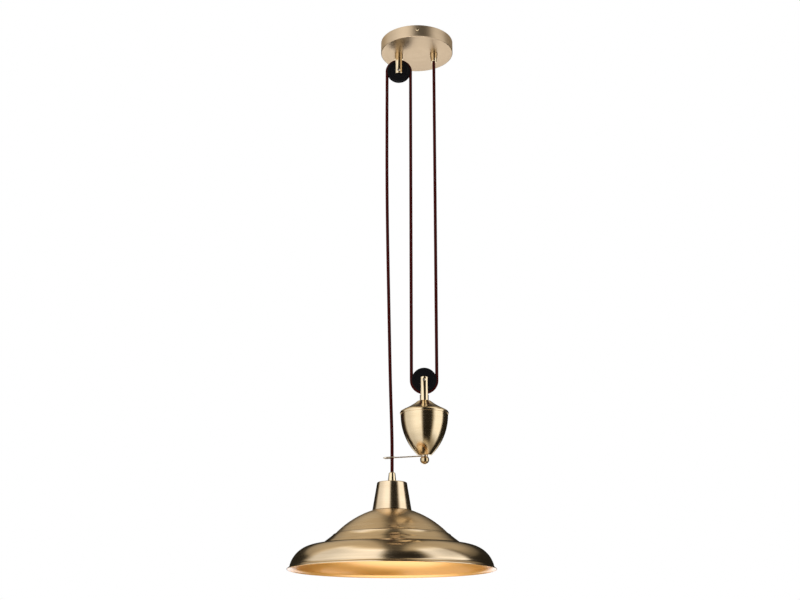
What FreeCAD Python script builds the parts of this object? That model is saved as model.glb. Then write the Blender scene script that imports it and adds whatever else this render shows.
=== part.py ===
"""Rise and fall pendant: a ceiling light whose shade and counterweight hang on one flex.

The flex leaves a grip in the ceiling rose, runs down round the pulley of the
counterweight, up over the pulley under the rose, and down to the shade. The
counterweight has a movable pulley, so it travels half as far as the shade and
weighs twice as much.

Frame: millimetres, +Z up. The origin is the middle of the ceiling plate's top
face, which lies on the ceiling. +X is to the right of a person who faces +Y.
"""
import FreeCAD, Part
import math
import os
import re

import Sketcher
from FreeCAD import Placement, Rotation, Vector

# ---------------------------------------------------------------------------
# Driving dimensions. Names that end in _drop are depths below the ceiling.
# ---------------------------------------------------------------------------
SIZES = [
    # ceiling rose and the plate that carries it
    ("rose_radius", 78.0), ("rose_depth", 26.0), ("rose_wall", 1.2), ("rose_edge", 1.8),
    ("plate_thick", 1.6), ("plate_width", 22.0), ("plate_reach", 75.8), ("plate_leg", 16.0),
    ("slot_offset", 30.0), ("slot_width", 4.6), ("slot_length", 14.0),
    ("side_screw_drop", 10.7), ("side_screw_radius", 2.0), ("side_screw_length", 8.0),
    ("side_head_radius", 3.3), ("side_head_thick", 2.2), ("driver_slot", 0.9),
    ("block_width", 17.0), ("block_length", 30.0), ("block_height", 11.0),
    ("block_screw", 1.6), ("block_pitch", 8.0),
    # flex: its own radius, and the radius of its centreline round a pulley
    ("flex_radius", 3.25), ("flex_bend", 25.4), ("core_radius", 0.9), ("core_ring", 1.6),
    # pulleys, bushes and axles
    ("wheel_radius", 24.9), ("wheel_width", 9.6), ("groove_radius", 3.3), ("wheel_edge", 0.6),
    ("groove_mouth", 3.262),
    ("hub_radius", 8.5), ("web_radius", 19.5), ("web_recess", 0.8),
    ("bush_radius", 4.0), ("bush_length", 10.0),
    ("axle_radius", 2.0), ("axle_length", 17.0), ("axle_dome", 0.5),
    # pulley forks
    ("fork_radius", 8.8), ("fork_neck", 12.6), ("fork_pin", 42.6), ("fork_length", 49.2),
    ("fork_slot", 10.2), ("fork_edge", 1.2), ("fork_sink", 3.2), ("fork_sink_depth", 0.9),
    ("stud_radius", 4.0), ("stud_length", 12.0),
    # flex grips
    ("grip_base", 8.4), ("grip_tip", 6.4), ("grip_length", 19.0), ("grip_edge", 0.8),
    ("nipple_radius", 5.0), ("nipple_length", 12.0),
    ("nut_thick", 4.0), ("stud_nut", 7.5), ("nipple_nut", 8.1), ("nipple_nut_thick", 3.0),
    # counterweight
    ("weight_x", 11.5), ("weight_pin_drop", 756.5),
    ("cap_top", 13.3), ("cap_height", 26.9), ("cap_wall", 1.2), ("cap_curve", 121.2),
    ("cap_break", 41.0), ("cap_break_height", 9.5), ("cap_brim", 48.4), ("cap_brim_height", 3.4),
    ("shell_height", 84.5), ("shell_top", 47.0), ("shell_foot", 14.0), ("shell_curve", 114.0),
    ("shell_wall", 1.2),
    ("core_foot", 11.0), ("core_top", 44.2), ("core_curve", 112.5), ("core_height", 79.0),
    ("core_shoulder", 43.0), ("core_break", 39.3), ("core_boss", 11.0),
    ("finial_radius", 8.9), ("finial_height", 14.5), ("finial_seat", 6.92), ("finial_stud", 3.0),
    ("finial_stud_length", 17.8),
    # guide arm: a flat eye on the finial's stud, a rod, and an open eye round the flex
    ("arm_drop", 909.0), ("arm_eye_radius", 6.5), ("arm_eye_thick", 2.9), ("arm_wire", 1.3),
    ("arm_reach", 67.0), ("arm_loop_bend", 5.6), ("arm_loop_straight", 6.8), ("arm_slope", 3.0),
    # shade, its neck cover and the lampholder
    ("shade_x", -52.2), ("cover_drop", 960.5), ("cover_height", 54.25), ("cover_wall", 1.0),
    ("cover_foot", 38.0), ("cover_shoulder", 29.3), ("cover_edge", 2.2),
    ("shade_drop", 1128.0), ("sheet", 0.75), ("shade_hole", 20.5), ("shade_top", 114.4),
    ("dome_flat", 34.0), ("dome_start", 37.6), ("dome_start_height", 113.0),
    ("dome_end", 107.5), ("dome_end_height", 69.5), ("dome_curve", 175.0),
    ("seam_out", 109.6), ("seam_height", 67.8), ("band_end", 129.5), ("band_end_height", 52.5),
    ("lip_start", 137.0), ("lip_start_height", 44.7), ("lip_curve", 49.4),
    ("lip_end", 194.0), ("lip_end_height", 9.5), ("flare_curve", 8.0),
    ("rim_reach", 198.6), ("rim_bead", 1.31), ("rim_height", 2.6),
    ("holder_radius", 19.6), ("holder_wall", 2.0), ("holder_flange", 22.6),
    ("holder_flange_thick", 3.0), ("holder_skirt", 26.4), ("holder_cap_height", 45.0),
    ("holder_cap_top", 9.0), ("holder_cap_slope", 15.0), ("holder_cap_drop", 965.6),
    ("insert_radius", 17.55), ("insert_height", 24.0), ("insert_drop", 1012.0),
    ("thread_radius", 13.5), ("thread_wall", 0.5), ("thread_length", 24.0),
    ("contact_radius", 3.0), ("contact_height", 3.0),
    ("ring_radius", 25.0), ("ring_height", 6.4), ("ring_drop", 1020.75),
    # clearances: between pieces that are screwed together, and a shaft in its bush
    ("screw_fit", 0.05), ("running_fit", 0.05), ("flex_fit", 0.15),
    # where the flex turns vertical below its slant, just above the guide eye
    ("knee_drop", 906.0),
]

doc = FreeCAD.newDocument("RiseAndFallPendant")
sheet = doc.addObject("Spreadsheet::Sheet", "Sizes")
for row, (alias, size) in enumerate(SIZES, start=1):
    sheet.set(f"A{row}", alias)
    sheet.set(f"B{row}", str(size))
    sheet.setAlias(f"B{row}", alias)
doc.recompute()

PIECES = []  # (node name, document object), in the order of the assembly


# ---------------------------------------------------------------------------
# Helpers
# ---------------------------------------------------------------------------
def bound(text):
    """The expression with each name read from the sheet: "a - b" gives "Sizes.a - Sizes.b"."""
    return re.sub(r"[a-z_]+", lambda name: "Sizes." + name.group(), text)


def size(text):
    """The value, in millimetres, of an expression in the sheet's names."""
    return float(sheet.evalExpression(bound(text)))


def keep(node, piece):
    """Records a finished sub-part under its node name."""
    piece.Label = node
    PIECES.append((node, piece))
    return piece


def place(piece, x="0", y="0", z="0", axis=(0, 0, 1), angle=0.0):
    """Sets a sub-part down, with its position bound to the sheet."""
    piece.Placement = Placement(Vector(size(x), size(y), size(z)), Rotation(Vector(*axis), angle))
    for letter, text in (("x", x), ("y", y), ("z", z)):
        if text != "0":
            piece.setExpression(f"Placement.Base.{letter}", bound(text))
    return piece


def origin_plane(body, role):
    """One of the body's own origin planes."""
    return next(f for f in body.Origin.OriginFeatures if f.Role == role)


def new_sketch(body, name, role, offset="0"):
    """A sketch on an origin plane of the body, or parallel to it."""
    sketch = body.newObject("Sketcher::SketchObject", name)
    sketch.AttachmentSupport = [(origin_plane(body, role), "")]
    sketch.MapMode = "FlatFace"
    if offset != "0":
        sketch.AttachmentOffset = Placement(Vector(0, 0, size(offset)), Rotation())
        sketch.setExpression("AttachmentOffset.Base.z", bound(offset))
    return sketch


def fix_point(sketch, edge, end, texts):
    """Ties a vertex to the sketch's axes, at distances bound to the sheet."""
    for kind, axis_edge, text in (("DistanceX", -2, texts[0]), ("DistanceY", -1, texts[1])):
        if text == "0":
            sketch.addConstraint(Sketcher.Constraint("PointOnObject", edge, end, axis_edge))
            continue
        index = sketch.addConstraint(Sketcher.Constraint(kind, -1, 1, edge, end, size(text)))
        sketch.setExpression(f"Constraints[{index}]", bound(text))


def minor_arc(start, end, radius, side):
    """The arc under a half circle between two points, its centre left (+1) or right (-1) of the way."""
    chord = end - start
    rise = math.sqrt(max(radius ** 2 - (chord.Length / 2) ** 2, 0.0))
    left = Vector(-chord.y, chord.x, 0).normalize()
    centre = (start + end) / 2 + left * rise * side
    first, last = (start, end) if side > 0 else (end, start)
    turn = [math.atan2(p.y - centre.y, p.x - centre.x) for p in (first, last)]
    return Part.ArcOfCircle(Part.Circle(centre, Vector(0, 0, 1), radius), turn[0], turn[1])


def draw_outline(sketch, outline):
    """A closed outline: each entry is (x, y) or (x, y, radius, side), where the last two bend its next edge."""
    points = [Vector(size(v[0]), size(v[1]), 0) for v in outline]
    ends = []
    for i, vertex in enumerate(outline):
        start, end = points[i], points[(i + 1) % len(points)]
        if len(vertex) == 2:
            edge = sketch.addGeometry(Part.LineSegment(start, end), False)
            ends.append((edge, 1, 2))
            continue
        edge = sketch.addGeometry(minor_arc(start, end, size(vertex[2]), vertex[3]), False)
        ends.append((edge, 1, 2) if vertex[3] > 0 else (edge, 2, 1))
    for i, (edge, first, last) in enumerate(ends):
        following = ends[(i + 1) % len(ends)]
        sketch.addConstraint(Sketcher.Constraint("Coincident", edge, last, following[0], following[1]))
    for (edge, first, last), vertex in zip(ends, outline):
        fix_point(sketch, edge, first, vertex[:2])
        if len(vertex) == 4:
            index = sketch.addConstraint(Sketcher.Constraint("Radius", edge, size(vertex[2])))
            sketch.setExpression(f"Constraints[{index}]", bound(vertex[2]))


def turned(node, outline):
    """A turned or spun piece: its half section, as (radius, height), revolved about its own Z axis."""
    body = doc.addObject("PartDesign::Body", node)
    sketch = new_sketch(body, node + "_section", "XZ_Plane")
    draw_outline(sketch, outline)
    turn = body.newObject("PartDesign::Revolution", node + "_turn")
    turn.Profile = sketch
    turn.ReferenceAxis = (sketch, ["V_Axis"])
    turn.Angle = 360
    doc.recompute()
    return keep(node, body)


def cut_through(body, sketch, both_ways=True):
    """Cuts the sketch's shape right through the body, and makes sure that it took material away."""
    before = body.Shape.Volume
    pocket = body.newObject("PartDesign::Pocket", sketch.Name + "_cut")
    pocket.Profile = sketch
    pocket.Type = "ThroughAll"
    if both_ways:
        pocket.SideType = "Symmetric"
    doc.recompute()
    if not body.Shape.Volume < before - 0.01:
        pocket.Reversed = True
        doc.recompute()
    if not body.Shape.Volume < before - 0.01:
        raise RuntimeError(f"{pocket.Name} cuts nothing")
    return pocket


def drill(body, name, role, x, y, radius, offset="0", both_ways=True):
    """A round hole whose axis is square to an origin plane of the body."""
    sketch = new_sketch(body, name, role, offset)
    circle = Part.Circle(Vector(size(x), size(y), 0), Vector(0, 0, 1), size(radius))
    edge = sketch.addGeometry(circle, False)
    fix_point(sketch, edge, 3, (x, y))
    index = sketch.addConstraint(Sketcher.Constraint("Radius", edge, size(radius)))
    sketch.setExpression(f"Constraints[{index}]", bound(radius))
    return cut_through(body, sketch, both_ways)


def primitive(kind, name, **texts):
    """A Part primitive whose properties are bound to the sheet."""
    piece = doc.addObject(kind, name)
    for key, text in texts.items():
        setattr(piece, key, size(text))
        piece.setExpression(key, bound(text))
    return piece


def joined(kind, name, pieces):
    """A boolean or a group of pieces: Part::Cut, Part::MultiFuse or Part::Compound."""
    result = doc.addObject(kind, name)
    if kind == "Part::Cut":
        result.Base, result.Tool = pieces
    elif kind == "Part::Compound":
        result.Links = pieces
    else:
        result.Shapes = pieces
    doc.recompute()
    return result


def hex_nut(node, across_corners_radius, bore, thick):
    """A six-sided nut with a plain bore."""
    blank = primitive("Part::Prism", node + "_blank", Circumradius=across_corners_radius, Height=thick)
    hole = primitive("Part::Cylinder", node + "_hole", Radius=bore, Height=thick)
    return keep(node, joined("Part::Cut", node, [blank, hole]))


def swept(points, bends, radius):
    """A round wire along straight runs joined by tangent arcs, and the length of its path."""
    edges, start = [], points[0]
    for corner, after, bend in zip(points[1:-1], points[2:], bends):
        incoming, outgoing = (corner - start).normalize(), (after - corner).normalize()
        half_turn = incoming.getAngle(outgoing) / 2
        if half_turn < 1e-3:
            continue
        reach = bend * math.tan(half_turn)
        enter, leave = corner - incoming * reach, corner + outgoing * reach
        inward = (outgoing - incoming).normalize()
        centre = corner + inward * (bend / math.cos(half_turn))
        edges += [Part.LineSegment(start, enter).toShape(),
                  Part.Arc(enter, centre - inward * bend, leave).toShape()]
        start = leave
    edges.append(Part.LineSegment(start, points[-1]).toShape())
    path = Part.Wire(edges)
    face = Part.Wire(Part.makeCircle(radius, points[0], points[1] - points[0]))
    pipe = path.makePipeShell([face], True, False)
    return pipe, path.Length


# ---------------------------------------------------------------------------
# Ceiling plate, rose and what is inside the rose
# ---------------------------------------------------------------------------
def make_ceiling_plate():
    """A steel strap screwed to the ceiling, with two legs that the rose's side screws enter."""
    body = doc.addObject("PartDesign::Body", "ceiling_plate")
    strap = new_sketch(body, "strap_side", "YZ_Plane")
    draw_outline(strap, [
        ("plate_reach", "-plate_leg"), ("plate_reach", "0"), ("-plate_reach", "0"),
        ("-plate_reach", "-plate_leg"), ("plate_thick - plate_reach", "-plate_leg"),
        ("plate_thick - plate_reach", "-plate_thick"), ("plate_reach - plate_thick", "-plate_thick"),
        ("plate_reach - plate_thick", "-plate_leg"),
    ])
    pad = body.newObject("PartDesign::Pad", "strap_pad")
    pad.Profile = strap
    pad.SideType = "Symmetric"
    pad.Length = size("plate_width")
    pad.setExpression("Length", bound("plate_width"))
    doc.recompute()
    slot = new_sketch(body, "ceiling_slot", "XY_Plane")
    near, far = "slot_offset - (slot_length - slot_width) / 2", "slot_offset + (slot_length - slot_width) / 2"
    half = "slot_width / 2"
    draw_outline(slot, [
        ("-" + half, near, half, 1), ("0", "slot_offset - slot_length / 2", half, 1), (half, near),
        (half, far, half, 1), ("0", "slot_offset + slot_length / 2", half, 1), ("-" + half, far),
    ])
    pocket = cut_through(body, slot)
    mirror = body.newObject("PartDesign::Mirrored", "ceiling_slot_pair")
    mirror.Originals = [pocket]
    mirror.MirrorPlane = (origin_plane(body, "XZ_Plane"), [""])
    body.Tip = mirror
    doc.recompute()
    drill(body, "side_screw_hole", "XZ_Plane", "0", "-side_screw_drop", "side_screw_radius + screw_fit")
    return keep("ceiling_plate", body)


def make_rose():
    """The spun brass cup that hides the ceiling plate and carries the pulley and the flex grip."""
    rose = turned("ceiling_rose", [
        ("0", "0"), ("rose_radius - rose_edge", "0", "rose_edge", 1), ("rose_radius", "rose_edge"),
        ("rose_radius", "rose_depth"), ("rose_radius - rose_wall", "rose_depth"),
        ("rose_radius - rose_wall", "rose_wall"), ("0", "rose_wall"),
    ])
    drill(rose, "fork_hole", "XY_Plane", "weight_x - 2 * flex_bend", "0", "stud_radius + flex_fit")
    drill(rose, "grip_hole", "XY_Plane", "weight_x + flex_bend", "0", "nipple_radius + flex_fit")
    drill(rose, "side_hole", "XZ_Plane", "0", "rose_depth - side_screw_drop",
          "side_screw_radius + flex_fit")
    return place(rose, z="-rose_depth")


def make_side_screws():
    """Two slotted screws that hold the rose to the legs of the ceiling plate."""
    screws = []
    for name, turn in (("front", 0.0), ("back", 180.0)):
        head = primitive("Part::Cylinder", name + "_head", Radius="side_head_radius",
                         Height="side_head_thick")
        shank = primitive("Part::Cylinder", name + "_shank", Radius="side_screw_radius",
                          Height="side_screw_length")
        place(shank, z="-side_screw_length")
        slot = primitive("Part::Box", name + "_driver_slot", Length="2 * side_head_radius",
                         Width="driver_slot", Height="driver_slot")
        place(slot, x="-side_head_radius", y="-driver_slot / 2", z="side_head_thick - driver_slot")
        blank = joined("Part::MultiFuse", name + "_blank", [head, shank])
        screw = joined("Part::Cut", name + "_screw", [blank, slot])
        outward = Rotation(Vector(0, 0, 1), turn) * Rotation(Vector(1, 0, 0), 90)
        seat = outward.multVec(Vector(0, 0, size("rose_radius")))
        screw.Placement = Placement(seat - Vector(0, 0, size("side_screw_drop")), outward)
        screws.append(screw)
    return keep("rose_side_screws", joined("Part::Compound", "rose_side_screws", screws))


def make_terminal_block():
    """A three-way block under the plate, with a bore through it for each core."""
    blank = primitive("Part::Box", "block_blank", Length="block_width", Width="block_length",
                      Height="block_height")
    place(blank, x="-block_width / 2", y="-block_length / 2")
    bores = []
    for count, offset in enumerate(("-block_pitch", "0", "block_pitch")):
        wire_way = primitive("Part::Cylinder", f"wire_way_{count}", Radius="core_radius + screw_fit",
                             Height="block_width")
        place(wire_way, x="-block_width / 2", y=offset, z="block_height / 2", axis=(0, 1, 0), angle=90)
        screw_way = primitive("Part::Cylinder", f"screw_way_{count}", Radius="block_screw",
                              Height="block_height / 2")
        place(screw_way, x="block_width / 4", y=offset)
        bores += [wire_way, screw_way]
    ways = joined("Part::MultiFuse", "block_ways", bores)
    block = keep("terminal_block", joined("Part::Cut", "terminal_block", [blank, ways]))
    return place(block, z="-plate_thick - block_height")


def make_rose_wiring():
    """The three cores from the end of the flex's sleeve to the terminal block."""
    level = -size("plate_thick + block_height / 2")
    strip = -size("rose_depth - nipple_length + 1")
    cores = []
    for count in range(3):
        around = math.radians(180 + 120 * (count - 1))
        foot = Vector(size("weight_x + flex_bend") + size("core_ring") * math.cos(around),
                      -size("core_ring") * math.sin(around), strip)
        entry = Vector(size("block_width / 2"), size("block_pitch") * (count - 1), level)
        wire, length = swept([foot, Vector(foot.x, foot.y, level), entry + Vector(5, 0, 0),
                              entry - Vector(4, 0, 0)], [4.0, 6.0], size("core_radius"))
        cores.append(wire)
    wiring = doc.addObject("Part::Feature", "rose_wiring")
    wiring.Shape = Part.makeCompound(cores)
    return keep("rose_wiring", wiring)


# ---------------------------------------------------------------------------
# Pulleys: fork, axle, wheel and bush, alike at the rose and at the counterweight
# ---------------------------------------------------------------------------
def make_fork(node):
    """A slotted brass bar with a threaded stud: its base is at height 0 and its slot points up."""
    fork = turned(node, [
        ("0", "-stud_length"), ("stud_radius", "-stud_length"), ("stud_radius", "0"),
        ("fork_radius", "0"), ("fork_radius", "fork_length - fork_edge", "fork_edge", 1),
        ("fork_radius - fork_edge", "fork_length"), ("0", "fork_length"),
    ])
    slot = new_sketch(fork, node + "_slot", "YZ_Plane")
    draw_outline(slot, [
        ("-fork_slot / 2", "fork_neck"), ("fork_slot / 2", "fork_neck"),
        ("fork_slot / 2", "fork_length + fork_edge"), ("-fork_slot / 2", "fork_length + fork_edge"),
    ])
    cut_through(fork, slot)
    drill(fork, node + "_axle_hole", "XZ_Plane", "0", "fork_pin", "axle_radius + screw_fit")
    for side, level in (("front", "fork_radius - fork_sink_depth"),
                        ("back", "fork_sink_depth - fork_radius")):
        sketch = new_sketch(fork, f"{node}_sink_{side}", "XZ_Plane", level)
        edge = sketch.addGeometry(
            Part.Circle(Vector(0, size("fork_pin"), 0), Vector(0, 0, 1), size("fork_sink")), False)
        fix_point(sketch, edge, 3, ("0", "fork_pin"))
        index = sketch.addConstraint(Sketcher.Constraint("Radius", edge, size("fork_sink")))
        sketch.setExpression(f"Constraints[{index}]", bound("fork_sink"))
        sink = fork.newObject("PartDesign::Pocket", sketch.Name + "_cut")
        sink.Profile = sketch
        sink.Type = "Length"
        sink.Length = size("fork_radius")
        sink.Reversed = side == "front"
        before = fork.Shape.Volume
        doc.recompute()
        taken = before - fork.Shape.Volume
        if not 1.0 < taken < 60.0:
            raise RuntimeError(f"{sink.Name} takes {taken:.2f} cubic millimetres")
    return fork


def make_wheel(node):
    """A black moulded pulley, lying on its side: bore, hub, thinner web, and a round groove."""
    middle = "wheel_width / 2"
    return turned(node, [
        ("bush_radius + screw_fit", "0"), ("hub_radius", "0"), ("hub_radius", "web_recess"),
        ("web_radius", "web_recess"), ("web_radius", "0"), ("wheel_radius - wheel_edge", "0"),
        ("wheel_radius", "wheel_edge"),
        ("wheel_radius", f"{middle} - groove_mouth", "groove_radius", -1),
        ("flex_bend - groove_radius", middle, "groove_radius", -1),
        ("wheel_radius", f"{middle} + groove_mouth"),
        ("wheel_radius", "wheel_width - wheel_edge"), ("wheel_radius - wheel_edge", "wheel_width"),
        ("web_radius", "wheel_width"), ("web_radius", "wheel_width - web_recess"),
        ("hub_radius", "wheel_width - web_recess"), ("hub_radius", "wheel_width"),
        ("bush_radius + screw_fit", "wheel_width"),
    ])


def make_pulley(prefix, x, pin_level, base_level, hangs):
    """One pulley set: the fork stands on base_level, or hangs from it, and its axle is at pin_level."""
    fork = make_fork(prefix + "_fork")
    place(fork, x=x, z=base_level, axis=(1, 0, 0), angle=180.0 if hangs else 0.0)
    axle = turned(prefix + "_axle", [
        ("0", "0"), ("axle_radius - axle_dome", "0"), ("axle_radius", "axle_dome"),
        ("axle_radius", "axle_length - axle_dome"), ("axle_radius - axle_dome", "axle_length"),
        ("0", "axle_length"),
    ])
    place(axle, x=x, y="axle_length / 2", z=pin_level, axis=(1, 0, 0), angle=90.0)
    wheel = make_wheel(prefix + "_pulley")
    place(wheel, x=x, y="wheel_width / 2", z=pin_level, axis=(1, 0, 0), angle=90.0)
    bush = turned(prefix + "_bush", [
        ("axle_radius + running_fit", "0"), ("bush_radius", "0"), ("bush_radius", "bush_length"),
        ("axle_radius + running_fit", "bush_length"),
    ])
    place(bush, x=x, y="bush_length / 2", z=pin_level, axis=(1, 0, 0), angle=90.0)


def make_grip(node):
    """A tapered brass flex grip with a threaded nipple below its base, bored for the flex."""
    bore = "flex_radius + screw_fit"
    return turned(node, [
        (bore, "-nipple_length"), ("nipple_radius", "-nipple_length"), ("nipple_radius", "0"),
        ("grip_base", "0"), ("grip_tip", "grip_length - grip_edge"),
        ("grip_tip - grip_edge", "grip_length"), (bore, "grip_length"),
    ])


# ---------------------------------------------------------------------------
# Counterweight
# ---------------------------------------------------------------------------
WEIGHT_BASE = "-weight_pin_drop - fork_pin"
SHELL_BASE = WEIGHT_BASE + " - cap_height + 3 - shell_height"


def make_cap():
    """The spun shoulder of the counterweight, with a turned-down brim over the shell."""
    cap = turned("counterweight_cap", [
        ("stud_radius + screw_fit", "cap_height"), ("cap_top", "cap_height", "cap_curve", 1),
        ("cap_break", "cap_break_height"), ("cap_brim - 1.5", "cap_brim_height + 2.6"),
        ("cap_brim", "cap_brim_height"), ("cap_brim", "0"), ("cap_brim - cap_wall", "0"),
        ("cap_brim - cap_wall", "cap_brim_height - 0.4"),
        ("cap_brim - 1.5 - 0.7", "cap_brim_height + 2.6 - cap_wall"),
        ("cap_break - 0.6", "cap_break_height - cap_wall", "cap_curve", -1),
        ("cap_top - 0.7", "cap_height - cap_wall"),
        ("stud_radius + screw_fit", "cap_height - cap_wall"),
    ])
    return place(cap, x="weight_x", z=WEIGHT_BASE + " - cap_height")


def make_shell():
    """The spun urn-shaped body of the counterweight."""
    shell = turned("counterweight_shell", [
        ("finial_stud + 0.2", "0"), ("shell_foot - 1", "0"), ("shell_foot", "0.8", "shell_curve", 1),
        ("shell_top", "shell_height"), ("shell_top - shell_wall", "shell_height", "shell_curve", -1),
        ("shell_foot - shell_wall", "1.8"), ("shell_foot - 2", "shell_wall"),
        ("finial_stud + 0.2", "shell_wall"),
    ])
    return place(shell, x="weight_x", z=SHELL_BASE)


def make_core():
    """The cast-iron core that does the balancing, tapped at both ends."""
    top = "core_height + cap_height - 1"
    core = turned("counterweight_core", [
        ("finial_stud + screw_fit", "0"), ("core_foot", "0", "core_curve", 1),
        ("core_top", "core_height"), ("core_shoulder", "core_height + 5"),
        ("core_break", "core_height + 7.4", "cap_curve", -1), ("core_boss", top),
        ("stud_radius + screw_fit", top), ("stud_radius + screw_fit", top + " - stud_length - 2"),
        ("0", top + " - stud_length - 2"), ("0", "finial_stud_length"),
        ("finial_stud + screw_fit", "finial_stud_length"),
    ])
    return place(core, x="weight_x", z=WEIGHT_BASE + " - cap_wall - 0.2 - core_height - cap_height + 1")


def make_finial():
    """The ball under the counterweight: its stud clamps the guide arm to the shell."""
    finial = turned("finial_ball", [
        ("0", "0", "finial_radius", 1), ("finial_seat", "finial_height"),
        ("finial_stud", "finial_height"), ("finial_stud", "finial_height + finial_stud_length"),
        ("0", "finial_height + finial_stud_length"),
    ])
    return place(finial, x="weight_x", z="-arm_drop - arm_eye_thick / 2 - screw_fit - finial_height")


def make_guide_arm():
    """A wire arm whose open eye keeps the counterweight beside the flex of the shade."""
    eye = primitive("Part::Cylinder", "arm_eye", Radius="arm_eye_radius", Height="arm_eye_thick")
    place(eye, z="-arm_eye_thick / 2")
    rod = primitive("Part::Cylinder", "arm_rod", Radius="arm_wire",
                    Height="arm_reach - arm_loop_straight / 2 - arm_loop_bend - arm_eye_radius + 1")
    place(rod, x="-arm_eye_radius + 1", axis=(0, 1, 0), angle=-90)
    loop = []
    for count, (start, turn) in enumerate((("arm_loop_straight / 2 - arm_reach", -90.0),
                                           ("-arm_loop_straight / 2 - arm_reach", 90.0))):
        bend = primitive("Part::Torus", f"arm_bend_{count}", Radius1="arm_loop_bend",
                         Radius2="arm_wire")
        bend.Angle3 = 180
        loop.append(place(bend, x=start, angle=turn))
    for count, offset in enumerate(("arm_loop_bend", "-arm_loop_bend")):
        run = primitive("Part::Cylinder", f"arm_run_{count}", Radius="arm_wire",
                        Height="arm_loop_straight")
        loop.append(place(run, x="-arm_reach - arm_loop_straight / 2", y=offset, axis=(0, 1, 0), angle=90))
    bow = joined("Part::MultiFuse", "arm_bow", [rod] + loop)
    place(bow, z="arm_eye_thick / 8", axis=(0, 1, 0), angle=-size("arm_slope"))
    blank = joined("Part::MultiFuse", "arm_blank", [eye, bow])
    hole = primitive("Part::Cylinder", "arm_hole", Radius="finial_stud + 0.3", Height="2 * arm_eye_thick")
    place(hole, z="-arm_eye_thick")
    arm = keep("guide_arm", joined("Part::Cut", "guide_arm", [blank, hole]))
    return place(arm, x="weight_x", z="-arm_drop")


# ---------------------------------------------------------------------------
# Shade, neck cover and lampholder
# ---------------------------------------------------------------------------
def make_cover():
    """The tapered spun cup over the lampholder, standing on the shade."""
    shoulder = "cover_height - cover_edge"
    cover = turned("neck_cover", [
        ("cover_foot", "0"), ("cover_shoulder", shoulder, "cover_edge", 1),
        ("cover_shoulder - cover_edge", "cover_height"), ("nipple_radius + flex_fit", "cover_height"),
        ("nipple_radius + flex_fit", "cover_height - cover_wall"),
        ("cover_shoulder - cover_edge - cover_wall", "cover_height - cover_wall", "cover_edge", -1),
        ("cover_shoulder - cover_wall", f"{shoulder} - cover_wall"), ("cover_foot - cover_wall", "0"),
    ])
    return place(cover, x="shade_x", z="-cover_drop - cover_height")


def make_shade():
    """The spun dish: flat seat, dome, seam, band, full round lip, and a beaded rim.

    The inner side is the outer side moved in and down by the sheet's thickness."""
    outer = [
        ("shade_hole", "shade_top"), ("dome_flat", "shade_top"),
        ("dome_start", "dome_start_height", "dome_curve", -1),
        ("dome_end", "dome_end_height"), ("seam_out", "seam_height"),
        ("band_end", "band_end_height"), ("lip_start", "lip_start_height", "lip_curve", -1),
        ("lip_end", "lip_end_height", "flare_curve", 1),
    ]
    rim = [("rim_reach", "rim_height", "rim_bead", -1), ("rim_reach", "0")]
    inner = [("rim_reach - sheet", "rim_height - sheet", "flare_curve", -1)]
    bends = {"lip_end": ("lip_curve", 1), "dome_end": ("dome_curve", 1)}
    for vertex in reversed(outer[1:]):
        inner.append((vertex[0] + " - sheet", vertex[1] + " - sheet") + bends.get(vertex[0], ()))
    inner.append(("shade_hole", "shade_top - sheet"))
    return place(turned("shade", outer + rim + inner), x="shade_x", z="-shade_drop")


def make_lampholder():
    """The lampholder: cap, flanged body, insert, thread shell, centre contact and shade ring."""
    wall, bore = "holder_wall", "nipple_radius + screw_fit"
    slope = "holder_cap_height - holder_cap_slope"
    cap = turned("lampholder_cap", [
        ("holder_radius", "0"), ("holder_radius", slope), ("holder_cap_top", "holder_cap_height"),
        (bore, "holder_cap_height"), (bore, "holder_cap_height - 2 * holder_wall"),
        ("holder_cap_top", "holder_cap_height - 2 * holder_wall"),
        (f"holder_radius - {wall}", slope + " - holder_wall"), (f"holder_radius - {wall}", "0"),
    ])
    place(cap, x="shade_x", z="-holder_cap_drop - holder_cap_height")
    full = "holder_skirt + holder_flange_thick"
    body = turned("lampholder_body", [
        (f"holder_radius - {wall}", "0"), ("holder_radius", "0"), ("holder_radius", "holder_skirt"),
        ("holder_flange", "holder_skirt"), ("holder_flange", full), (f"holder_radius - {wall}", full),
    ])
    place(body, x="shade_x", z="shade_top - shade_drop - holder_skirt")
    insert = turned("lampholder_insert", [
        ("contact_radius + screw_fit", "0"), ("insert_radius", "0"),
        ("insert_radius", "insert_height"), ("0", "insert_height"), ("0", "contact_height"),
        ("contact_radius + screw_fit", "contact_height"),
    ])
    place(insert, x="shade_x", z="-insert_drop")
    shell = turned("thread_shell", [
        ("thread_radius", "0"), ("thread_radius + thread_wall", "0"),
        ("thread_radius + thread_wall", "thread_length"), ("thread_radius", "thread_length"),
    ])
    place(shell, x="shade_x", z="-insert_drop - thread_length")
    contact = turned("centre_contact", [
        ("0", "0"), ("contact_radius - 1", "0"), ("contact_radius", "1"),
        ("contact_radius", "contact_height"), ("0", "contact_height"),
    ])
    place(contact, x="shade_x", z="-insert_drop")
    ring = turned("shade_ring", [
        ("holder_radius + screw_fit", "0"), ("ring_radius - 1", "0"), ("ring_radius", "1"),
        ("ring_radius", "ring_height"), ("holder_radius + screw_fit", "ring_height"),
    ])
    place(ring, x="shade_x", z="-ring_drop")


def make_holder_wiring():
    """The cores from the end of the flex's sleeve to the top of the insert."""
    cores = []
    for count in range(3):
        around = math.radians(120 * count)
        core = primitive("Part::Cylinder", f"holder_core_{count}", Radius="core_radius",
                         Height="insert_drop - insert_height - cover_drop - nipple_length - 1")
        place(core, x="shade_x", z="insert_height - insert_drop")
        core.setExpression("Placement.Base.x", None)
        core.Placement.Base += Vector(math.cos(around), math.sin(around), 0) * size("core_ring")
        cores.append(core)
    return keep("holder_wiring", joined("Part::Compound", "holder_wiring", cores))


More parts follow.
